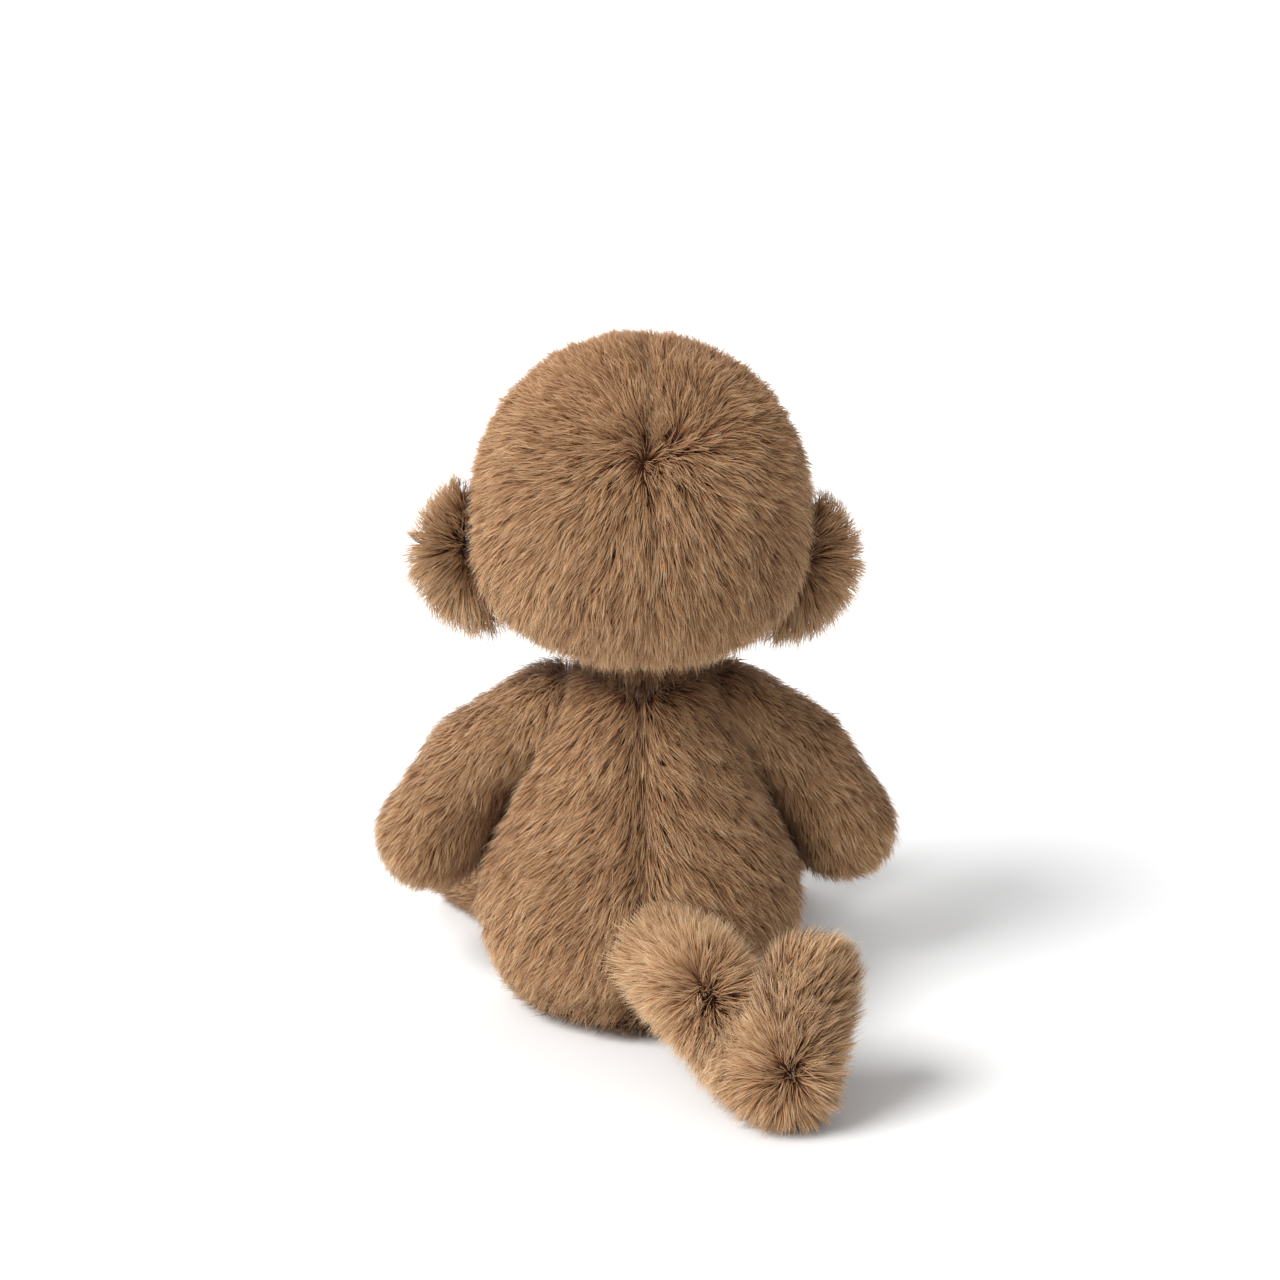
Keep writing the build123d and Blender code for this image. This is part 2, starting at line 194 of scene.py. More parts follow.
world = bpy.context.scene.world or bpy.data.worlds.new("studio")
bpy.context.scene.world = world
world.use_nodes = True
sky = world.node_tree.nodes["Background"]
sky.inputs["Color"].default_value = (1, 1, 1, 1)
sky.inputs["Strength"].default_value = 0.50
bpy.context.scene.view_settings.view_transform = "Standard"


def light(name, kind, place, energy, **values):
    """A lamp that faces the toy."""
    data = bpy.data.lights.new(name, kind)
    data.energy = energy
    for key, value in values.items():
        setattr(data, key, value)
    ob = bpy.data.objects.new(name, data)
    bpy.context.scene.collection.objects.link(ob)
    ob.location = place
    ob.rotation_euler = (aim - Vector(place)).to_track_quat("-Z", "Y").to_euler()


light("key_light", "SUN", (0.86, 0.50, 1.08), 3.3, angle=math.radians(32))
light("front_lamp", "AREA", (0.3, -1.3, 1.1), 9, size=1.0)

# %% [markdown]
# ## Pile colours
# Along each strand the colour runs from painted shade at the root, through the pile's own colour,
# to painted highlight at the pale tip. Each strand carries two numbers in its own map: how far along
# the strand a point lies, and a
# tint that the whole strand shares. The material reads only that map, so the colours stay with the
# strands in every pose.


# %% Pile material
def pile_material(name, along, tints, roughness=0.78, sheen=0.12):
    """Colours along a strand, multiplied by the strand's own tint."""
    made, tree, shader = plain_material(name, (0.4, 0.25, 0.15), roughness)
    shader.inputs["Sheen Weight"].default_value = sheen
    shader.inputs["Specular IOR Level"].default_value = 0.25
    nodes, links = tree.nodes, tree.links
    uv = nodes.new("ShaderNodeUVMap")
    uv.uv_map = "OFBake"
    split = nodes.new("ShaderNodeSeparateXYZ")
    links.new(uv.outputs["UV"], split.inputs["Vector"])
    ramps = []
    for stops, source in ((along, "X"), (tints, "Y")):
        ramp = nodes.new("ShaderNodeValToRGB")
        links.new(split.outputs[source], ramp.inputs["Fac"])
        while len(ramp.color_ramp.elements) < len(stops):
            ramp.color_ramp.elements.new(0.5)
        for element, (place, colour) in zip(ramp.color_ramp.elements, stops):
            element.position = place
            element.color = (*colour, 1)
        ramps.append(ramp)
    mix = nodes.new("ShaderNodeMix")
    mix.data_type = "RGBA"
    mix.blend_type = "MULTIPLY"
    mix.inputs["Factor"].default_value = 1
    links.new(ramps[0].outputs["Color"], mix.inputs["A"])
    links.new(ramps[1].outputs["Color"], mix.inputs["B"])
    links.new(mix.outputs["Result"], shader.inputs["Base Color"])
    return made


# From root to tip: painted shade at the dark root, the pile's own browns, then painted highlight at the
# pale tip.
LONG_PILE = pile_material(
    "long_pile",
    [(0.0, (0.07, 0.020, 0.008)), (0.35, (0.27, 0.115, 0.046)),
     (0.70, (0.54, 0.305, 0.148)), (1.0, (0.87, 0.65, 0.41))],
    [(0.0, (0.34, 0.23, 0.17)), (0.35, (0.72, 0.64, 0.58)), (0.7, (0.93, 0.91, 0.89)),
     (1.0, (1.0, 1.0, 1.0))])
# From root to tip: painted shade at the darker root, the velour's own cream, then painted highlight at
# the palest tip.
SHORT_PILE = pile_material(
    "short_pile",
    [(0.0, (0.42, 0.27, 0.16)), (0.4, (0.72, 0.56, 0.40)), (1.0, (0.92, 0.80, 0.64))],
    [(0.0, (0.80, 0.76, 0.70)), (1.0, (1.0, 1.0, 1.0))])
print("pile materials:", LONG_PILE.name, SHORT_PILE.name)


# %% [markdown]
# ## Padded forms
# Filling pushes a sewn skin out until the cloth is tight. The simulation does the same: the form
# starts a little too small, is remeshed into even squares, and air pressure swells it as cloth. How
# far a point may move is capped, so that the form stays in the room that the CAD model gives it.


# %% Copies of CAD solids as starting shapes
def copy_of(name, nodes):
    """One object with the merged meshes of these CAD nodes."""
    copies = []
    for node in nodes:
        ob = bpy.data.objects.new(name, frame["nodes"][node].data.copy())
        bpy.context.scene.collection.objects.link(ob)
        ob.data.materials.clear()
        copies.append(ob)
    only(*copies)
    if len(copies) > 1:
        bpy.ops.object.join()
    edit_all(copies[0])
    bpy.ops.mesh.remove_doubles(threshold=0.01 * MM)
    close_edit()
    return copies[0]


def fatten(ob, amount):
    """Move the whole skin outwards, or inwards if the amount is negative."""
    set_points(ob, points_of(ob) + normals_of(ob) * amount)


def even_squares(ob, voxel, smooth=2):
    """Remesh into one closed skin of even squares."""
    add_and_apply(ob, "REMESH", mode="VOXEL", voxel_size=voxel)
    add_and_apply(ob, "SMOOTH", iterations=smooth, factor=0.5)


# %% The torso, drawn up ring by ring like a pot on a wheel
SKIN_DEPTH = 3.0 * MM      # how far under the CAD surface the cloth's back lies
belly_panel = frame["nodes"]["body_belly"]


def belly_radius_at(z):
    """The torso's outer radius, felt from the front where no limb is let in."""
    hit, place, _, _ = belly_panel.ray_cast(Vector((0, -0.3, z)), Vector((0, 1, 0)))
    return -place.y if hit else 0.0


SEAT_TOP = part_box("body_seat")[1][2]
SIDE_SEAM_Y, BELLY_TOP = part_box("body_belly")[1][1:]
RING_COUNT = 15
ring_heights = [SEAT_TOP + MM + (BELLY_TOP - SEAT_TOP - 2 * MM) * i / (RING_COUNT - 1)
                for i in range(RING_COUNT)]
rings = [(belly_radius_at(z) - SKIN_DEPTH, z) for z in ring_heights]
seat_rays = [frame["nodes"]["body_seat"].ray_cast(Vector((0, -0.3, z * MM)), Vector((0, 1, 0)))
             for z in (1.5, 3.5)]
rings = [(-hit[1].y - SKIN_DEPTH, hit[1].z + 0.3 * SKIN_DEPTH) for hit in seat_rays] + rings
rings[-1] = (rings[-1][0], BELLY_TOP - SKIN_DEPTH)

bpy.ops.object.select_all(action="DESELECT")
bpy.ops.mesh.primitive_circle_add(vertices=72, radius=rings[0][0], fill_type="NGON",
                                  location=(0, 0, rings[0][1]))
torso_form = bpy.context.object
torso_form.name = "torso_form"
bpy.ops.object.transform_apply(location=True, rotation=True, scale=True)
edit_all(torso_form)
for (last_radius, last_z), (radius, z) in zip(rings, rings[1:]):
    bpy.ops.mesh.extrude_region_move(TRANSFORM_OT_translate={"value": (0, 0, z - last_z)})
    grow = radius / last_radius
    bpy.ops.transform.resize(value=(grow, grow, 1), center_override=(0, 0, z))
bpy.ops.mesh.select_all(action="SELECT")
bpy.ops.mesh.normals_make_consistent(inside=False)
close_edit()
even_squares(torso_form, 4 * MM, smooth=3)
print("torso rings:", len(rings), "torso squares:", len(torso_form.data.polygons))

# %% The head, a hull pulled tight over its covers
head_form = copy_of("head_form", ["head_back_left", "head_back_right", "head_front", "face_mask"])
wrap_in_hull(head_form)
fatten(head_form, -SKIN_DEPTH)
even_squares(head_form, 4 * MM, smooth=4)
print("head squares:", len(head_form.data.polygons))

# %% Limbs, ears, tail and neck, from the outer shape of their filling
forms = {"torso": torso_form, "head": head_form}
LIMBS = ["arm_left", "arm_right", "leg_left", "leg_right", "tail"]
for body in LIMBS:
    forms[body] = copy_of(f"{body}_form", [f"{body}_stuffing"])
    even_squares(forms[body], 3.5 * MM)
    fatten(forms[body], 0.9 * MM)
for body in ("ear_left", "ear_right"):
    forms[body] = copy_of(f"{body}_form", [f"{body}_wadding"])
    even_squares(forms[body], 2.2 * MM, smooth=1)
    fatten(forms[body], 0.8 * MM)
forms["muzzle"] = copy_of("muzzle_form", ["muzzle_cover"])
wrap_in_hull(forms["muzzle"])
fatten(forms["muzzle"], -0.8 * MM)
even_squares(forms["muzzle"], 2 * MM, smooth=3)
forms["neck"] = copy_of("neck_form", ["neck_stuffing"])
even_squares(forms["neck"], 3 * MM)
fatten(forms["neck"], 0.6 * MM)
print("forms:", ", ".join(forms))

# %% Filling them
PRESSURE = 4.0
LAST_FRAME = 20
LIMB_CAP = 1.2
SWELL_CAP = {"torso": 1.6, "head": 1.4, "ear_left": 0.8, "ear_right": 0.8, "muzzle": 0.8, "neck": 0.4}


def fill_forms(named_forms):
    """Swell every form at once as cloth under pressure, and cap how far its points move."""
    slack = {}
    for name, ob in named_forms.items():
        slack[name] = points_of(ob)
        cloth = ob.modifiers.new("filling", "CLOTH")
        cloth.settings.quality = 4
        cloth.settings.use_pressure = True
        cloth.settings.uniform_pressure_force = PRESSURE
        cloth.settings.effector_weights.gravity = 0
        cloth.point_cache.frame_start = 1
        cloth.point_cache.frame_end = LAST_FRAME
    for step in range(1, LAST_FRAME + 1):
        bpy.context.scene.frame_set(step)
    evaluated = bpy.context.evaluated_depsgraph_get()
    full = {name: points_of(ob.evaluated_get(evaluated)) for name, ob in named_forms.items()}
    for name, ob in named_forms.items():
        ob.modifiers.clear()
        move = full[name] - slack[name]
        far = np.linalg.norm(move, axis=1, keepdims=True)
        cap = SWELL_CAP.get(name, LIMB_CAP) * MM
        set_points(ob, slack[name] + move * np.minimum(1, cap / np.maximum(far, 1e-9)))
        print(f"{name}: swelled up to {far.max() / MM:.1f} mm, capped at {cap / MM:.1f} mm")
    bpy.context.scene.frame_set(1)


fill_forms(forms)
for ob in forms.values():
    add_and_apply(ob, "SUBSURF", levels=1, render_levels=1)

# %% [markdown]
# ## Seams
# Where two panels are sewn together the thread pulls the cloth in, and the pile parts over it. Two
# seams show: the middle of the back, and the middle of the head. Each is pressed into the finished
# form as a shallow round groove. A groove cut earlier would be lost, because a remesh and a filling
# smooth it away. The head is also soft enough to sag a little where it rests on the neck.

# %% The head's own directions, from its ear joints
head_up = unit(joint_row("ear_left_fold", "axis"))
head_left = unit(joint_place("ear_left_fold") - joint_place("ear_right_fold"))
head_back = np.cross(head_up, head_left)
EAR_DROP = 21 * MM
head_middle = (joint_place("ear_left_fold") + joint_place("ear_right_fold")) / 2 + head_up * EAR_DROP


def in_head(points):
    """Rows of (left, back, up) distances from the middle of the head."""
    off = points - head_middle
    return np.stack([off @ head_left, off @ head_back, off @ head_up], axis=1)


print("head middle in mm:", (head_middle / MM).round(1))

# %% The head's underside sags flat where it rests on the neck
SAG_START = -30 * MM
SAG_SHARE = 0.80
head_rows = in_head(points_of(forms["head"]))
sunk = np.where(head_rows[:, 2] < SAG_START, (head_rows[:, 2] - SAG_START) * (SAG_SHARE - 1), 0)
set_points(forms["head"], points_of(forms["head"]) + sunk[:, None] * head_up)
print("the head's underside rises by up to", round(sunk.max() / MM, 1), "mm")


# %% Pressing the seams in
def press_groove(ob, off_seam, along_seam, depth, half_width):
    """Pull points near a seam inwards; along_seam is 1 on the seam's length and 0 beyond it."""
    pull = depth * np.exp(-(off_seam / half_width) ** 2) * along_seam
    set_points(ob, points_of(ob) - normals_of(ob) * pull[:, None])


BACK_SEAM = dict(depth=2.2 * MM, half_width=3.5 * MM)
HEAD_SEAM = dict(depth=1.6 * MM, half_width=3.0 * MM)
torso_points = points_of(forms["torso"])
press_groove(forms["torso"], torso_points[:, 0], (torso_points[:, 1] > 0).astype(float), **BACK_SEAM)
head_points = in_head(points_of(forms["head"]))
press_groove(forms["head"], head_points[:, 0], (head_points[:, 1] > 0).astype(float), **HEAD_SEAM)
print("seams pressed in mm:", BACK_SEAM["depth"] / MM, HEAD_SEAM["depth"] / MM)


# %% [markdown]
# ## Rooting the pile
# Pile is thousands of separate strands, too many to place by hand and too regular if copied. Each
# panel gets random roots spread evenly over its area. A strand leaves the cloth at a steep angle,
# bends over in the direction that the panel is brushed, and ends in a point. Neighbours lean together
# into small tufts, which is what makes plush look like plush. Strands are thin leaves of three faces,
# because that keeps more than half a million of them light.


# %% Surfaces, waves and roots
def triangles_of(ob):
    """Corner places and corner normals of every triangle."""
    ob.data.calc_loop_triangles()
    count = len(ob.data.loop_triangles)
    flat = np.empty(count * 3, dtype=np.int32)
    ob.data.loop_triangles.foreach_get("vertices", flat)
    corners = flat.reshape(-1, 3)
    return points_of(ob)[corners], normals_of(ob)[corners]


def areas_of(places):
    first, second = places[:, 1] - places[:, 0], places[:, 2] - places[:, 0]
    return np.linalg.norm(np.cross(first, second), axis=1) / 2


def waves(points, size, seed):
    """A smooth random pattern between -1 and 1, with bumps of about this size."""
    rng = np.random.default_rng(seed)
    total = np.zeros(len(points))
    for _ in range(6):
        direction = unit(rng.normal(size=3)) * 2 * math.pi / (size * rng.uniform(0.7, 1.6))
        total += np.sin(points @ direction + rng.uniform(0, 2 * math.pi))
    return np.clip(total / 3.0, -1, 1)


def scatter(places, normals, per_mm2, rng):
    """Random roots spread evenly over triangles."""
    areas = areas_of(places)
    count = int(areas.sum() / MM**2 * per_mm2)
    chosen = rng.choice(len(areas), size=count, p=areas / areas.sum())
    a, b = rng.random((2, count, 1))
    flip = (a + b) > 1
    a, b = np.where(flip, 1 - a, a), np.where(flip, 1 - b, b)
    weights = np.stack([1 - a - b, a, b], axis=1)
    return (places[chosen] * weights).sum(1), unit((normals[chosen] * weights).sum(1))


# %% Growing strands
FLOOR_CLEARANCE = 0.25 * MM


def unrest(points, size, seed):
    """Smooth noise vectors, which keep cells and partings from looking drawn with a rule."""
    return np.stack([waves(points, size, seed + k) for k in range(3)], axis=1)


def tuft_numbers(points, size, seed):
    """Which tuft each root belongs to: uneven cells of about this size, numbered by mixed primes."""
    shift = unrest(points, 4 * size, seed) * size
    cells = np.floor((points + shift) / size).astype(np.int64)
    keys = (cells[:, 0] * 73856093) ^ (cells[:, 1] * 19349663) ^ (cells[:, 2] * 83492791)
    return np.unique(keys, return_inverse=True)[1]


def mean_by(groups, rows):
    """The mean of each group's rows, given back to every member of the group."""
    counts = np.bincount(groups)
    sums = [np.bincount(groups, weights=rows[:, k]) for k in range(rows.shape[1])]
    return (np.stack(sums, axis=1) / counts[:, None])[groups]


def grow(roots, normals, brushed, rng, length=10.5, lift=(52, 16), width=0.28, tuft=1.3, gather=0.38,
         stray=0.16, droop=0.08, stand=None, seed=1):
    """Each strand's root, bend, tip, half width, shading normal, tuft and tuft's own numbers.

    length and width are in mm and lift in degrees from the cloth, below and above the bend. gather is
    how far tips lean to their tuft's middle, stray how far a strand turns from the brushed way, and
    droop how far a tip hangs, as a share of its length.
    """
    count = len(roots)
    groups = tuft_numbers(roots, tuft * MM, seed)
    per_tuft = rng.normal(size=(groups.max() + 1, 3))[groups]
    across = np.cross(normals, brushed)
    swing = 0.17 * per_tuft[:, 0] + stray * rng.normal(size=count)
    swing = swing + 0.28 * waves(roots, 16 * MM, seed + 9)
    flow = unit(brushed * np.cos(swing)[:, None] + across * np.sin(swing)[:, None])
    size = length * MM * np.clip(1 + 0.09 * per_tuft[:, 1] + 0.15 * rng.normal(size=count), 0.45, 1.45)
    size = size * np.where(rng.random(count) < 0.22, 0.65, 1.0)
    tilt = np.radians(6) * per_tuft[:, 2] + np.radians(7) * rng.normal(size=count)
    tilt = tilt + np.radians(5) * waves(roots, 11 * MM, seed + 19)
    if stand is not None:
        tilt = tilt + np.radians(stand(roots))
    low, high = np.radians(lift[0]) + tilt, np.radians(lift[1]) + tilt
    half = (size / 2)[:, None]
    bend = roots + half * (flow * np.cos(low)[:, None] + normals * np.sin(low)[:, None])
    tip = bend + half * (flow * np.cos(high)[:, None] + normals * np.sin(high)[:, None])
    tip[:, 2] -= droop * size
    share = gather * np.clip(0.75 + 0.35 * per_tuft[:, 2:3], 0.1, 1.25)
    bend = bend + (mean_by(groups, bend) - bend) * share * 0.45
    tip = tip + (mean_by(groups, tip) - tip) * share
    start = roots - normals * 0.4 * MM
    for places in (start, bend, tip):
        places[:, 2] = np.maximum(places[:, 2], FLOOR_CLEARANCE)
    along = unit(tip - start)
    side = unit(np.cross(along, normals + 1e-6))
    facing = np.cross(side, along)
    roll = np.radians(65) * rng.uniform(-1, 1, size=(count, 1))
    side = side * np.cos(roll) + facing * np.sin(roll)
    thick = width * MM / 2 * rng.uniform(0.7, 1.3, size=(count, 1))
    soft = unit(facing * 0.75 + normals * 0.5)
    return start, bend, tip, side * thick, soft, groups, per_tuft


def strand_mesh(start, bend, tip, half, soft, tint, root_shade):
    """Vertices, faces, map places and normals of strands as three-face leaves."""
    count = len(start)
    corners = np.stack([start + half, start - half, bend + half * 0.85, bend - half * 0.85, tip], axis=1)
    first = np.arange(count)[:, None] * 5
    quads = first + np.array([0, 2, 3, 1])
    tips = first + np.array([2, 4, 3])
    thin = 0.006                # a strand's width in the map, where its place is its tint
    u = root_shade + (1 - root_shade) * np.array([0.0, 0.0, 0.5, 0.5, 1.0])
    side = np.array([0.0, thin, 0.0, thin, thin / 2])
    maps = np.stack([np.broadcast_to(u, (count, 5)), tint[:, None] + side], axis=2)
    return corners.reshape(-1, 3), quads, tips, maps.reshape(-1, 2), np.repeat(soft, 5, axis=0)


# %% One piece: a cloth panel with its pile
def panel_of(form, inside, name):
    """The part of a closed form whose face middles pass the test."""
    mesh = form.data.copy()
    ob = bpy.data.objects.new(name, mesh)
    bpy.context.scene.collection.objects.link(ob)
    kept = inside(rows_of(mesh.polygons, "center"))
    work = bmesh.new()
    work.from_mesh(mesh)
    others = [face for face, keep in zip(work.faces, kept) if not keep]
    bmesh.ops.delete(work, geom=others, context="FACES")
    work.to_mesh(mesh)
    work.free()
    return ob


CLOTH_THICKNESS = 0.6 * MM


def plush_piece(name, panel, strands, material, body, nodes):
    """Give a panel its thickness and join it with its strands into one finished piece."""
    add_and_apply(panel, "SOLIDIFY", thickness=CLOTH_THICKNESS, offset=-1)
    cloth = panel.data
    cloth_points, cloth_normals = points_of(panel), normals_of(panel)
    loop_points = np.empty(len(cloth.loops), dtype=np.int32)
    cloth.loops.foreach_get("vertex_index", loop_points)
    cloth_starts = np.empty(len(cloth.polygons), dtype=np.int32)
    cloth.polygons.foreach_get("loop_start", cloth_starts)
    low, high = cloth_points.min(0), cloth_points.max(0)
    spread = (cloth_points - low) / (high - low)
    # The cloth takes the colours of the strands' root end, the darkest ones, which are painted shade.
    cloth_maps = np.stack([0.01 + 0.05 * spread[:, 0], 0.2 + 0.3 * spread[:, 2]], axis=1)

    points, quads, tips, maps, soft = strands
    shift = len(cloth_points)
    all_points = np.concatenate([cloth_points, points])
    loops = np.concatenate([loop_points, (quads + shift).ravel(), (tips + shift).ravel()])
    quad_starts = len(loop_points) + np.arange(len(quads)) * 4
    tip_starts = len(loop_points) + quads.size + np.arange(len(tips)) * 3
    starts = np.concatenate([cloth_starts, quad_starts, tip_starts])
    mesh = bpy.data.meshes.new(name)
    mesh.vertices.add(len(all_points))
    mesh.vertices.foreach_set("co", all_points.astype(np.float32).ravel())
    mesh.loops.add(len(loops))
    mesh.loops.foreach_set("vertex_index", loops.astype(np.int32))
    mesh.polygons.add(len(starts))
    mesh.polygons.foreach_set("loop_start", starts.astype(np.int32))
    mesh.update(calc_edges=True)
    layer = mesh.uv_layers.new(name="OFBake")
    layer.data.foreach_set("uv", np.concatenate([cloth_maps, maps])[loops].astype(np.float32).ravel())
    mesh.polygons.foreach_set("use_smooth", np.ones(len(starts), dtype=bool))
    leaning = mesh.attributes.new("custom_normal", "FLOAT_VECTOR", "POINT")
    leaning.data.foreach_set("vector", np.concatenate([cloth_normals, soft]).astype(np.float32).ravel())
    mesh.materials.append(material)
    piece = bpy.data.objects.new(name, mesh)
    bpy.context.scene.collection.objects.link(piece)
    bpy.data.objects.remove(panel)
    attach(piece, body)
    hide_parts(*nodes)
    faces = len(cloth_starts) + 3 * len(quads)
    print(f"{name}: {len(quads)} strands, about {faces} triangles")
    return piece


# %% [markdown]
# ## Covering a body with pile
# One call covers one panel. What differs between panels is only how the pile is brushed, how long it
# is and how steeply it stands. Roots that stay inside a neighbour in every pose are left out, because
# they could never show.


# %% Covering a panel
def balls(*centres_and_radii):
    """A test that is true for points outside all of these balls."""
    def outside(points):
        clear = np.ones(len(points), dtype=bool)
        for centre, radius in centres_and_radii:
            clear &= np.linalg.norm(points - centre, axis=1) > radius
        return clear
    return outside


def everywhere(points):
    return np.ones(len(points), dtype=bool)


def cover(name, form, inside, brush, body, nodes, seed, density=3.3, clear=everywhere, shorten=None,
          material=LONG_PILE, slot="long_pile", fill=0.8, tint_shift=0.0, root_shade=0.0, **looks):
    """Cut a panel from a form and root pile in it. root_shade is where on the colours roots start; a
    higher one paints less shade at the roots. The tint's shift lightens a piece as painted light.
    """
    panel = panel_of(form, inside, name + "_cloth")
    rng = np.random.default_rng(seed)
    roots, normals = scatter(*triangles_of(panel), density, rng)
    seen = clear(roots)
    roots, normals = roots[seen], normals[seen]
    flow = brush(roots, normals)
    flow = flow - normals * (flow * normals).sum(1, keepdims=True)
    flow = unit(flow + 1e-6)
    start, bend, tip, half, soft, groups, per_tuft = grow(roots, normals, flow, rng, seed=seed, **looks)
    if shorten is not None:
        share = shorten(roots)[:, None]
        bend, tip = start + (bend - start) * share, start + (tip - start) * share
    # Each strand's tint varies at random, by tuft and in large soft patches; the shift added to it is
    # painted light that lightens some pieces.
    tint = (0.55 + tint_shift + 0.13 * waves(roots, 24 * MM, 77) + 0.13 * per_tuft[:, 1]
            + 0.21 * rng.normal(size=len(roots)))
    tint = np.clip(tint, 0.02, 0.97)
    strands = strand_mesh(start, bend, tip, half, soft, tint, root_shade)
    return plush_piece(name, panel, strands, material, body, nodes)


# %% Torso: brushed down and outwards from the middle of the back
shoulders = {side: joint_place(f"arm_{side}_swing") for side in ("left", "right")}
hips = {side: joint_place(f"leg_{side}_lift") for side in ("left", "right")}
tail_root = joint_place("tail_swing")
torso_clear = balls(*[(shoulders[s], 12 * MM) for s in shoulders], *[(hips[s], 13 * MM) for s in hips],
                    (tail_root, 8 * MM), (np.array([0, 0, BELLY_TOP]), 10 * MM))


def brush_torso(points, normals):
    """Down the pear, turning away from the back seam."""
    turn = np.arctan2(points[:, 0], points[:, 1])
    away = np.stack([np.cos(turn), -np.sin(turn), np.zeros(len(points))], axis=1)
    strength = 0.75 * np.tanh(points[:, 0] / (4 * MM)) * np.clip(1.25 - np.abs(turn) / 1.7, 0, 1)
    outwards = unit(np.stack([points[:, 0], points[:, 1], np.zeros(len(points))], axis=1))
    under = (normals[:, 2:3] < -0.55)
    down = away * strength[:, None] + 0.5 * outwards + np.array([0, 0, -1.0])
    return np.where(under, outwards, down)


torso_looks = dict(brush=brush_torso, body="torso", clear=torso_clear)
cover("body_back_left_plush", forms["torso"],
      lambda p: (p[:, 2] > SEAT_TOP) & (p[:, 1] > SIDE_SEAM_Y) & (p[:, 0] > 0),
      nodes=["body_back_left"], seed=11, **torso_looks)
cover("body_back_right_plush", forms["torso"],
      lambda p: (p[:, 2] > SEAT_TOP) & (p[:, 1] > SIDE_SEAM_Y) & (p[:, 0] <= 0),
      nodes=["body_back_right"], seed=12, **torso_looks)
cover("body_belly_plush", forms["torso"], lambda p: (p[:, 2] > SEAT_TOP) & (p[:, 1] <= SIDE_SEAM_Y),
      nodes=["body_belly"], seed=13, **torso_looks)
cover("body_seat_plush", forms["torso"], lambda p: p[:, 2] <= SEAT_TOP,
      nodes=["body_seat"], seed=14, brush=brush_torso, body="torso", length=6, lift=(35, 10))

# %% [markdown]
# ## Head
# The head's pile is laid in one direction on the roll of cloth, but the panels meet at an angle, so it
# parts in a whorl high on the back and runs down from there. A single point would look like a star.
# So the pile is brushed away from a short slanting line, with a little noise and a little swirl.

# %% Head: brushed away from a whorl high on the back
WHORL = head_middle + head_left * 4 * MM + head_back * 50 * MM + head_up * 29 * MM
WHORL_END = WHORL - head_left * 11 * MM + head_up * 6 * MM
mask_points = in_head(points_of(frame["nodes"]["face_mask"]))
mask_low, mask_high = mask_points.min(0), mask_points.max(0)
mask_middle, mask_half = (mask_low + mask_high) / 2, (mask_high - mask_low) / 2
neck_top = joint_place("neck_nod")


def mask_reach(points):
    """Under 1 on the face mask, 1 on its edge and over 1 round it."""
    local = in_head(points)
    across, up = [(local[:, k] - mask_middle[k]) / mask_half[k] for k in (0, 2)]
    return np.where(local[:, 1] < 0, np.hypot(across, up), 9.0)


def brush_head(points, normals):
    """Away from the whorl, with a slight swirl near it, and hanging down low on the head."""
    run = WHORL_END - WHORL
    share = np.clip((points - WHORL) @ run / (run @ run), 0, 1)
    off = points - (WHORL + share[:, None] * run)
    far = np.linalg.norm(off, axis=1)
    off = off + unrest(points, 5 * MM, 301) * 3.5 * MM
    off = off - normals * (off * normals).sum(1, keepdims=True)
    away = unit(off)
    swirl = np.cross(normals, away) * (0.6 * np.exp(-far / (8 * MM)))[:, None]
    low = np.clip(-(points - head_middle)[:, 2:3] / (60 * MM), 0, 1)
    return away + swirl + np.array([0, 0, -1.0]) * low * 0.8


def whorl_stand(points):
    """Steeper pile round the whorl, so that no cloth shows in it."""
    far = np.linalg.norm(points - (WHORL + WHORL_END) / 2, axis=1)
    return 30 * np.exp(-(far / (9 * MM)) ** 2)


def head_length(points):
    """Shorter pile beside the face."""
    return np.clip(0.35 + 0.9 * (mask_reach(points) - 1), 0.35, 1.0)


head_looks = dict(brush=brush_head, body="head", stand=whorl_stand, clear=balls((neck_top, 15 * MM)))
cover("head_back_left_plush", forms["head"], lambda p: (in_head(p)[:, 1] > 0) & (in_head(p)[:, 0] > 0),
      nodes=["head_back_left"], seed=21, **head_looks)
cover("head_back_right_plush", forms["head"], lambda p: (in_head(p)[:, 1] > 0) & (in_head(p)[:, 0] <= 0),
      nodes=["head_back_right"], seed=22, **head_looks)
cover("head_front_plush", forms["head"], lambda p: (in_head(p)[:, 1] <= 0) & (mask_reach(p) > 1),
      nodes=["head_front"], seed=23, shorten=head_length, **head_looks)

# %% [markdown]
# ## Ears
# An ear is a long-pile back and a velour front, sewn at the rim and turned. Its back is brushed
# outwards from the fold, so the tips stand past the rim as a fringe. Velour is the same pile as
# elsewhere in this lesson, only short, dense and steep.

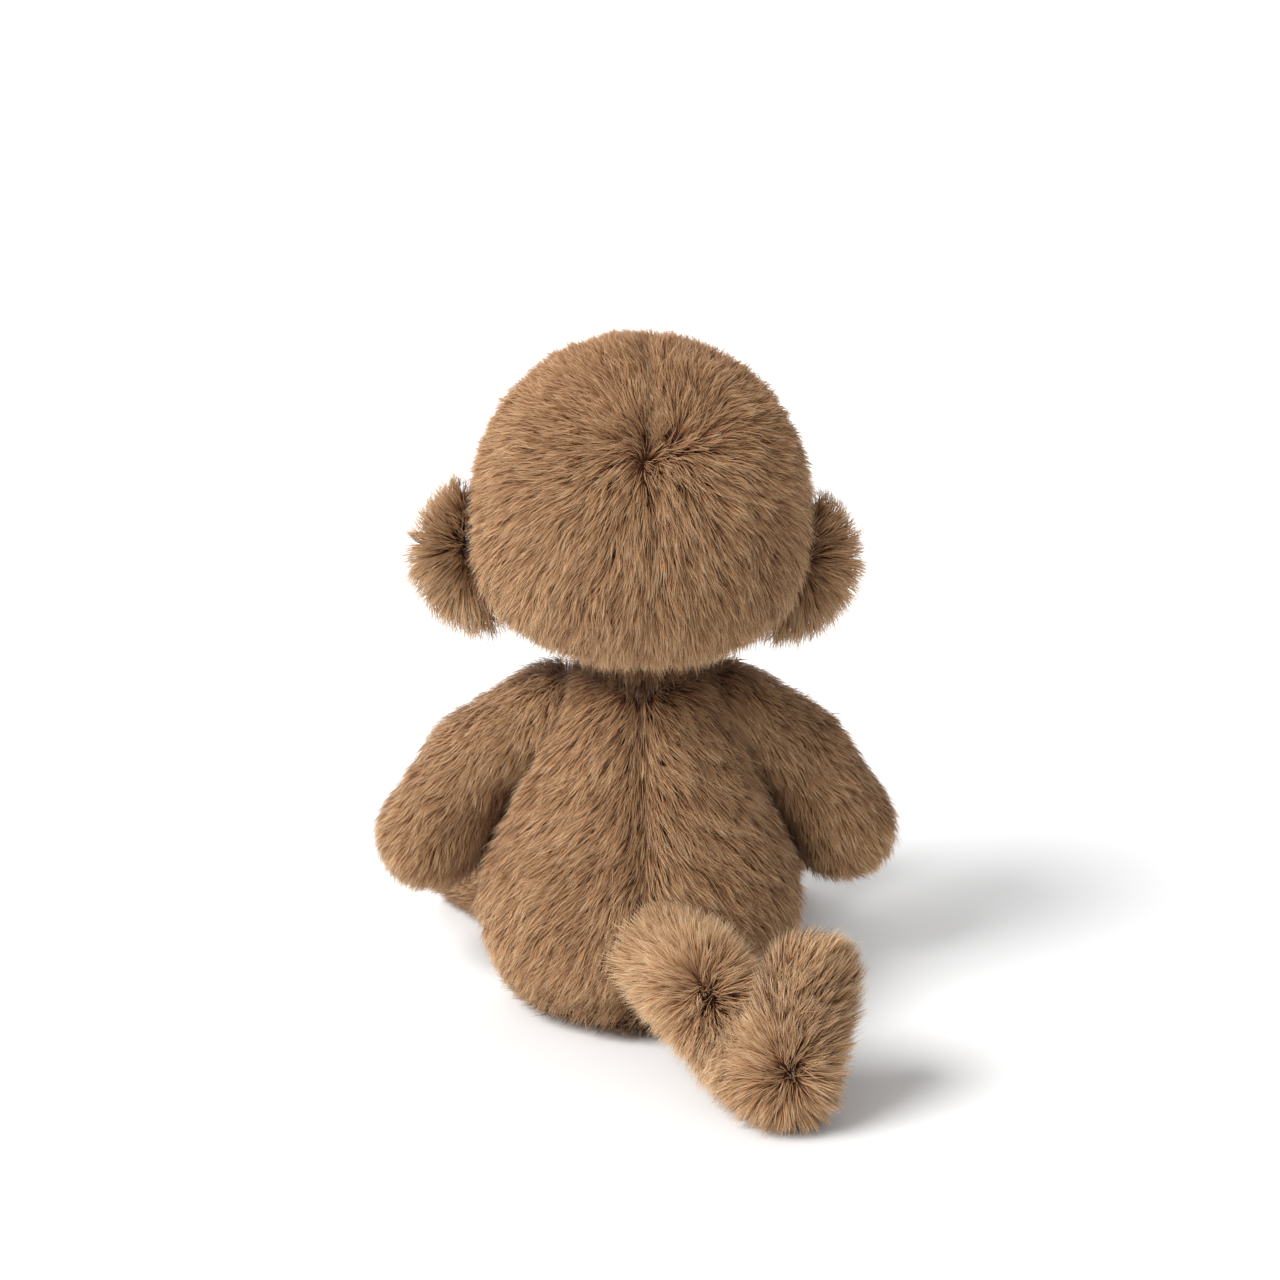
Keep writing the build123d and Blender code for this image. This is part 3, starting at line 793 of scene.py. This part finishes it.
# %% Ears: brushed outwards from their roots, long at the rim
EAR_SEAM = -1 * MM           # how far behind the head's middle an ear's two panels meet
for number, side in enumerate(("left", "right")):
    root = joint_place(f"ear_{side}_fold")

    def brush_ear(points, normals, root=root):
        return points - root

    ear_looks = dict(brush=brush_ear, body=f"ear_{side}")
    # The ear backs' pile is painted lighter and their roots paler than the body's: painted light.
    cover(f"ear_{side}_back_plush", forms[f"ear_{side}"], lambda p: in_head(p)[:, 1] > EAR_SEAM,
          nodes=[f"ear_{side}_back"], seed=31 + number, length=11.5, lift=(56, 24), density=5.2,
          root_shade=0.3, tint_shift=0.18, **ear_looks)
    cover(f"ear_{side}_front_plush", forms[f"ear_{side}"], lambda p: in_head(p)[:, 1] <= EAR_SEAM,
          nodes=[f"ear_{side}_front"], seed=33 + number, length=4, lift=(60, 35), density=9, width=0.25,
          tuft=1.2, material=SHORT_PILE, slot="short_pile", **ear_looks)

# %% [markdown]
# ## Arms and legs
# Each arm is two panels sewn along its edge, and each leg is two panels and a velour sole. Their pile
# runs along the limb from its joint to its end, as the cloth is cut. The way away from the joint is
# mixed in, so that the pile fans out round the limb's end and leaves no bald pole.

# %% Arms: an outer and an inner panel
for number, side in enumerate(("left", "right")):
    sign = 1 if side == "left" else -1
    shoulder = shoulders[side]
    paw_low, paw_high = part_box(f"arm_{side}_stuffing")
    paw_side = paw_high[0] if sign > 0 else paw_low[0]
    reach = np.array([paw_side, (paw_low[1] + paw_high[1]) / 2, paw_low[2]])
    along = unit(reach - shoulder)
    outer_way = unit(np.cross(along, np.array([0, 1.0, 0]))) * sign

    def brush_arm(points, normals, shoulder=shoulder, along=along):
        return along + 0.35 * unit(points - shoulder) + np.array([0, 0, -0.2])

    def is_outer(points, shoulder=shoulder, way=outer_way):
        return (points - shoulder) @ way < 0

    # The arms' pile is painted lighter and their roots paler than the body's: painted light.
    arm_looks = dict(brush=brush_arm, body=f"arm_{side}", length=9, lift=(52, 18), tint_shift=0.13,
                     root_shade=0.12)
    cover(f"arm_{side}_outer_plush", forms[f"arm_{side}"], is_outer,
          nodes=[f"arm_{side}_outer"], seed=41 + number, **arm_looks)
    cover(f"arm_{side}_inner_plush", forms[f"arm_{side}"], lambda p, t=is_outer: ~t(p),
          nodes=[f"arm_{side}_inner"], seed=43 + number, **arm_looks)

# %% Legs: an upper and a lower panel, and a sole
for number, side in enumerate(("left", "right")):
    hip = hips[side]
    sole_points = points_of(frame["nodes"][f"leg_{side}_sole"])
    sole_middle = (sole_points.min(0) + sole_points.max(0)) / 2
    out = unit((sole_middle - hip) * np.array([1, 1, 0]))
    sole_start = ((sole_points - hip) @ out).min()

    def brush_leg(points, normals, hip=hip, out=out):
        return out + 0.35 * unit(points - hip)

    def is_sole(points, hip=hip, out=out, start=sole_start):
        return (points - hip) @ out > start

    leg_looks = dict(brush=brush_leg, body=f"leg_{side}", length=9, lift=(52, 18))
    cover(f"leg_{side}_upper_plush", forms[f"leg_{side}"],
          lambda p, t=is_sole, h=hip: ~t(p) & (p[:, 2] > h[2]),
          nodes=[f"leg_{side}_upper"], seed=51 + number, **leg_looks)
    cover(f"leg_{side}_lower_plush", forms[f"leg_{side}"],
          lambda p, t=is_sole, h=hip: ~t(p) & (p[:, 2] <= h[2]),
          nodes=[f"leg_{side}_lower"], seed=53 + number, **leg_looks)
    cover(f"leg_{side}_sole_plush", forms[f"leg_{side}"], is_sole,
          nodes=[f"leg_{side}_sole"], seed=55 + number, brush=brush_leg, body=f"leg_{side}",
          length=3.5, lift=(60, 35), density=9, width=0.25, tuft=1.2, material=SHORT_PILE,
          slot="short_pile")

# %% [markdown]
# ## Tail
# The tail is one curled tube with the longest pile, painted lighter than the body's as painted light.
# Bent cloth opens its pile on the outside of each bend, so it parts at the first bulge and again at the
# bend, and stands out all round them. The curl's middle line repeats the CAD tail's own steps from its
# root.

# %% Tail: brushed away from two partings
TAIL_STEPS = np.array([(0, 0, 0), (-12, 22, -3), (-26, 43, -20.5), (-39, 57, -22), (-48, 50, 10)]) * MM
TAIL_LINE = tail_root + TAIL_STEPS
BULGE_RADIUS, BEND_RADIUS = 17 * MM, 16.5 * MM
TOWARDS_BACK = np.array([0, 0.93, 0.37])
TAIL_PARTINGS = [TAIL_LINE[1] + TOWARDS_BACK * BULGE_RADIUS, TAIL_LINE[3] + TOWARDS_BACK * BEND_RADIUS]
PARTING_REACH = 14 * MM


def brush_tail(points, normals):
    """Away from the two places where the curl's pile parts: its first bulge and its bend."""
    flow = np.zeros_like(points)
    for parting in TAIL_PARTINGS:
        away = points - parting + unrest(points, 5 * MM, 311) * 3 * MM
        far = np.linalg.norm(points - parting, axis=1, keepdims=True)
        flow += away / (far + 1e-6) * np.exp(-far / PARTING_REACH)
    return flow


def tail_stand(points):
    """Steeper pile at the partings, so that they close over the cloth."""
    gaps = [np.linalg.norm(points - parting, axis=1) for parting in TAIL_PARTINGS]
    return 40 * np.exp(-(np.minimum(*gaps) / (6 * MM)) ** 2)


def out_of_torso(points):
    """Leave out roots on the side of the tail's root that stays inside the torso."""
    return (points - tail_root) @ unit(TAIL_STEPS[1]) > 1 * MM


# The tail's pile is painted lighter and its roots paler than the body's: painted light.
cover("tail_plush", forms["tail"], everywhere, brush=brush_tail, body="tail", nodes=["tail_cover"],
      seed=61, length=11, lift=(64, 36), density=4.4, clear=out_of_torso, stand=tail_stand, stray=0.2,
      droop=0.0, tuft=1.5, gather=0.33, tint_shift=0.1, root_shade=0.24)

# %% [markdown]
# ## Neck
# Head and torso are sewn together round the neck's wad, so no bare wad shows between them. A collar
# of pile on the wad closes the gap and turns with the neck.

# %% Neck: a collar of pile between head and torso
NECK_LOW, NECK_HIGH = BELLY_TOP - 6 * MM, neck_top[2] - 2 * MM


def neck_seen(points):
    return (points[:, 2] > NECK_LOW) & (points[:, 2] < NECK_HIGH)


def brush_neck(points, normals):
    return np.tile([0, 0, -1.0], (len(points), 1))


cover("neck_plush", forms["neck"], everywhere, brush=brush_neck, body="neck", nodes=["neck_stuffing"],
      seed=62, length=10, lift=(70, 40), density=4, clear=neck_seen)

# %% [markdown]
# ## Face
# The back of the toy says nothing about its face, so the face is a plain one: a pale short-pile mask,
# a padded muzzle, button eyes, and a nose and a mouth in dark satin stitch.

# %% Mask and muzzle
eye_places = {s: points_of(frame["nodes"][f"eye_{s}"]) for s in ("left", "right")}
eye_middles = {s: p[np.argmin(in_head(p)[:, 1])] for s, p in eye_places.items()}
EYE_CLEARANCE = 5.6 * MM     # no pile is rooted nearer to an eye's middle
face_clear = balls(*[(middle, EYE_CLEARANCE) for middle in eye_middles.values()])


def brush_face(points, normals):
    """Outwards from between the eyes."""
    middle = head_middle - head_back * 55 * MM - head_up * 8 * MM
    return unit(points - middle) + np.array([0, 0, -0.4])


face_looks = dict(brush=brush_face, body="head", material=SHORT_PILE, slot="short_pile", length=3.2,
                  lift=(62, 35), width=0.22, tuft=1.1, density=9)
cover("face_mask_plush", forms["head"], lambda p: mask_reach(p) <= 1, nodes=["face_mask"], seed=71,
      clear=face_clear, **face_looks)
cover("muzzle_plush", forms["muzzle"], everywhere, nodes=["muzzle_cover"], seed=72, fill=0.9,
      **face_looks)

# %% [markdown]
# ## Filling
# Each skin is packed with loose fibre. The filling is the form itself, a little smaller, so it follows
# every seam from inside. In the seat it leaves room for the bag of beads.


# %% Filling pieces
def speckled(name, dark, light, scale, roughness, bump_height, kind="ShaderNodeTexNoise", **sockets):
    """A finish whose colour and bumps follow a fine pattern in the object's own space."""
    made, tree, shader = plain_material(name, light, roughness, **sockets)
    nodes, links = tree.nodes, tree.links
    place = nodes.new("ShaderNodeTexCoord")
    pattern = nodes.new(kind)
    pattern.inputs["Scale"].default_value = scale
    links.new(place.outputs["Object"], pattern.inputs["Vector"])
    source = pattern.outputs["Distance" if "Distance" in pattern.outputs else "Fac"]
    tone = nodes.new("ShaderNodeMix")
    tone.data_type = "RGBA"
    tone.inputs["A"].default_value = (*dark, 1)
    tone.inputs["B"].default_value = (*light, 1)
    links.new(source, tone.inputs["Factor"])
    links.new(tone.outputs["Result"], shader.inputs["Base Color"])
    bump = nodes.new("ShaderNodeBump")
    bump.inputs["Distance"].default_value = bump_height
    links.new(source, bump.inputs["Height"])
    links.new(bump.outputs["Normal"], shader.inputs["Normal"])
    return made


FILLING_FIBRE = speckled("filling_fibre", (0.70, 0.70, 0.68), (0.95, 0.95, 0.93), 420, 0.9, 0.001)
FILLING_GAP = 1.0 * MM
fillings = {"torso": "body_stuffing", "head": "head_stuffing", "muzzle": "muzzle_stuffing",
            "ear_left": "ear_left_wadding", "ear_right": "ear_right_wadding"}
fillings.update({limb: f"{limb}_stuffing" for limb in LIMBS})
bag_room = copy_of("bag_room", ["pellet_bag"])
wrap_in_hull(bag_room)
for body, node in fillings.items():
    filling = forms[body]
    filling.name = f"{body}_filling"
    fatten(filling, -FILLING_GAP)
    if body == "torso":
        add_and_apply(filling, "BOOLEAN", operation="DIFFERENCE", object=bag_room, solver="EXACT")
    filling.data.materials.clear()
    filling.data.materials.append(FILLING_FIBRE)
    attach(filling, "head" if body == "muzzle" else body)
    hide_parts(node)
bpy.data.objects.remove(bag_room)
bpy.data.objects.remove(forms["neck"])
print("fillings:", len(fillings))


# %% [markdown]
# ## Nose and mouth
# A stitched nose is rows of satin stitch side by side over a small pad, and the mouth is one twisted
# thread. Separate stitches would be far too fine to see, so the nose is a rounded ball with a ridge
# for each stitch, and the mouth is two thin tubes wound round each other.

# %% Nose: satin stitches side by side over a pad
def thread_material():
    """Twisted thread: fine slanting ridges and a soft shine."""
    made, tree, shader = plain_material("thread", (0.035, 0.018, 0.012), 0.42)
    nodes, links = tree.nodes, tree.links
    place = nodes.new("ShaderNodeTexCoord")
    ridges = nodes.new("ShaderNodeTexWave")
    ridges.inputs["Scale"].default_value = 900
    ridges.inputs["Distortion"].default_value = 1.5
    bump = nodes.new("ShaderNodeBump")
    bump.inputs["Strength"].default_value = 0.4
    bump.inputs["Distance"].default_value = 0.0002
    links.new(place.outputs["Object"], ridges.inputs["Vector"])
    links.new(ridges.outputs["Fac"], bump.inputs["Height"])
    links.new(bump.outputs["Normal"], shader.inputs["Normal"])
    tone = nodes.new("ShaderNodeMix")
    tone.data_type = "RGBA"
    tone.inputs["A"].default_value = (0.022, 0.011, 0.008, 1)
    tone.inputs["B"].default_value = (0.07, 0.038, 0.024, 1)
    links.new(ridges.outputs["Fac"], tone.inputs["Factor"])
    links.new(tone.outputs["Result"], shader.inputs["Base Color"])
    return made


THREAD = thread_material()
STITCH_WIDTH = 1.0 * MM
nose_points = in_head(points_of(frame["nodes"]["nose"]))
nose_low, nose_high = nose_points.min(0), nose_points.max(0)
nose_half = ((nose_high - nose_low) / 2)[[0, 2, 2]]      # as deep as it is high
nose_middle = np.array([(nose_high[0] + nose_low[0]) / 2, nose_low[1] + nose_half[1],
                        (nose_high[2] + nose_low[2]) / 2])
head_turn_matrix = np.stack([head_left, head_back, head_up], axis=1)


def from_head(points):
    return head_middle + points @ head_turn_matrix.T


bpy.ops.object.select_all(action="DESELECT")
bpy.ops.mesh.primitive_uv_sphere_add(segments=96, ring_count=64, radius=1, location=(0, 0, 0))
nose_pad = bpy.context.object
nose_pad.name = "nose_stitched"
ball = points_of(nose_pad)
shape = ball * nose_half
ridge = 0.16 * MM * np.abs(np.cos(shape[:, 0] / STITCH_WIDTH * math.pi + 0.25 * ball[:, 2]))
shape = shape * (1 + (ridge / np.linalg.norm(shape, axis=1))[:, None] - 0.02)
set_points(nose_pad, from_head(shape + nose_middle))
shade_smooth(nose_pad)
nose_pad.data.materials.append(THREAD)
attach(nose_pad, "head")
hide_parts("nose")
print("nose half sizes in mm:", (nose_half / MM).round(1))

# %% Mouth: a twisted thread laid in a shallow smile
mouth_points = in_head(points_of(frame["nodes"]["mouth_stitches"]))
mouth_low, mouth_high = mouth_points.min(0), mouth_points.max(0)
mouth_half = (mouth_high[0] - mouth_low[0]) / 2 - 0.6 * MM
mouth_rows = []
for share in np.linspace(-1, 1, 9):
    near = np.abs(mouth_points[:, 0] - share * mouth_half) < 1.2 * MM
    middle = mouth_points[near].mean(0)
    mouth_rows.append([share * mouth_half, middle[1] - 0.5 * MM, middle[2]])
mouth_rows = np.array(mouth_rows)
steps = np.linspace(0, 8, 73)
mouth_line = np.stack([np.interp(steps, range(9), mouth_rows[:, k]) for k in range(3)], axis=1)
for _ in range(6):
    mouth_line[1:-1] = (mouth_line[:-2] + 2 * mouth_line[1:-1] + mouth_line[2:]) / 4


def tube(line, radius, sides):
    """Vertices and faces of a closed round tube along a line."""
    along = unit(np.gradient(line, axis=0))
    first = unit(np.cross(along, np.array([0, 0, 1.0])))
    second = np.cross(along, first)
    turns = np.arange(sides) / sides * 2 * math.pi
    ends = np.ones(len(line))
    ends[[0, -1]] = 0.45
    cosines, sines = np.cos(turns)[None, :, None], np.sin(turns)[None, :, None]
    circle = first[:, None] * cosines + second[:, None] * sines
    places = line[:, None] + circle * (radius * ends)[:, None, None]
    faces = [(i * sides + k, i * sides + (k + 1) % sides, (i + 1) * sides + (k + 1) % sides,
              (i + 1) * sides + k) for i in range(len(line) - 1) for k in range(sides)]
    faces += [tuple(range(sides))[::-1], tuple((len(line) - 1) * sides + k for k in range(sides))]
    return places.reshape(-1, 3), faces


twist = steps * 1.6 * math.pi
ply_points, ply_faces = [], []
for phase in (0, math.pi):
    offset = np.stack([np.zeros(len(steps)), np.cos(twist + phase), np.sin(twist + phase)], axis=1)
    places, faces = tube(mouth_line + offset * 0.38 * MM, 0.5 * MM, 8)
    shift = sum(len(p) for p in ply_points)
    ply_points.append(places)
    ply_faces += [tuple(k + shift for k in face) for face in faces]
mouth_mesh = bpy.data.meshes.new("mouth_stitched")
mouth_mesh.from_pydata(from_head(np.concatenate(ply_points)).tolist(), [], ply_faces)
mouth_piece = bpy.data.objects.new("mouth_stitched", mouth_mesh)
bpy.context.scene.collection.objects.link(mouth_piece)
edit_all(mouth_piece)
bpy.ops.mesh.normals_make_consistent(inside=False)
close_edit()
shade_smooth(mouth_piece)
mouth_mesh.materials.append(THREAD)
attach(mouth_piece, "head")
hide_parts("mouth_stitches")
print("mouth width in mm:", round(2 * mouth_half / MM, 1))

# %% [markdown]
# ## Finishes for the pieces that stay as they are
# The eyes are polished plastic and already have their true shape. Inside the toy are a cotton bag
# with plastic beads, and the washers that lock the eyes.


# %% Eye, bag, bead and washer finishes
finishes = {
    "eye_plastic": speckled("eye_plastic", (0.012, 0.007, 0.005), (0.03, 0.016, 0.01), 260, 0.06,
                            0.00001, **{"Coat Weight": 0.6}),
    "bag_cloth": speckled("bag_cotton", (0.66, 0.64, 0.58), (0.88, 0.86, 0.80), 900, 0.85, 0.0003),
    "pellets": speckled("bag_beads", (0.35, 0.36, 0.37), (0.92, 0.93, 0.94), 330, 0.35, 0.0012,
                        kind="ShaderNodeTexVoronoi"),
    "washer_plastic": speckled("washer_plastic", (0.80, 0.80, 0.78), (0.92, 0.92, 0.90), 150, 0.45,
                               0.00003),
}
slots = {part["node"]: part["material_slot"] for part in record["subparts"]}
for node, ob in frame["nodes"].items():
    if slots[node] in finishes:
        ob.data.materials.clear()
        ob.data.materials.append(finishes[slots[node]])
        print(f"{node}: {finishes[slots[node]].name}")
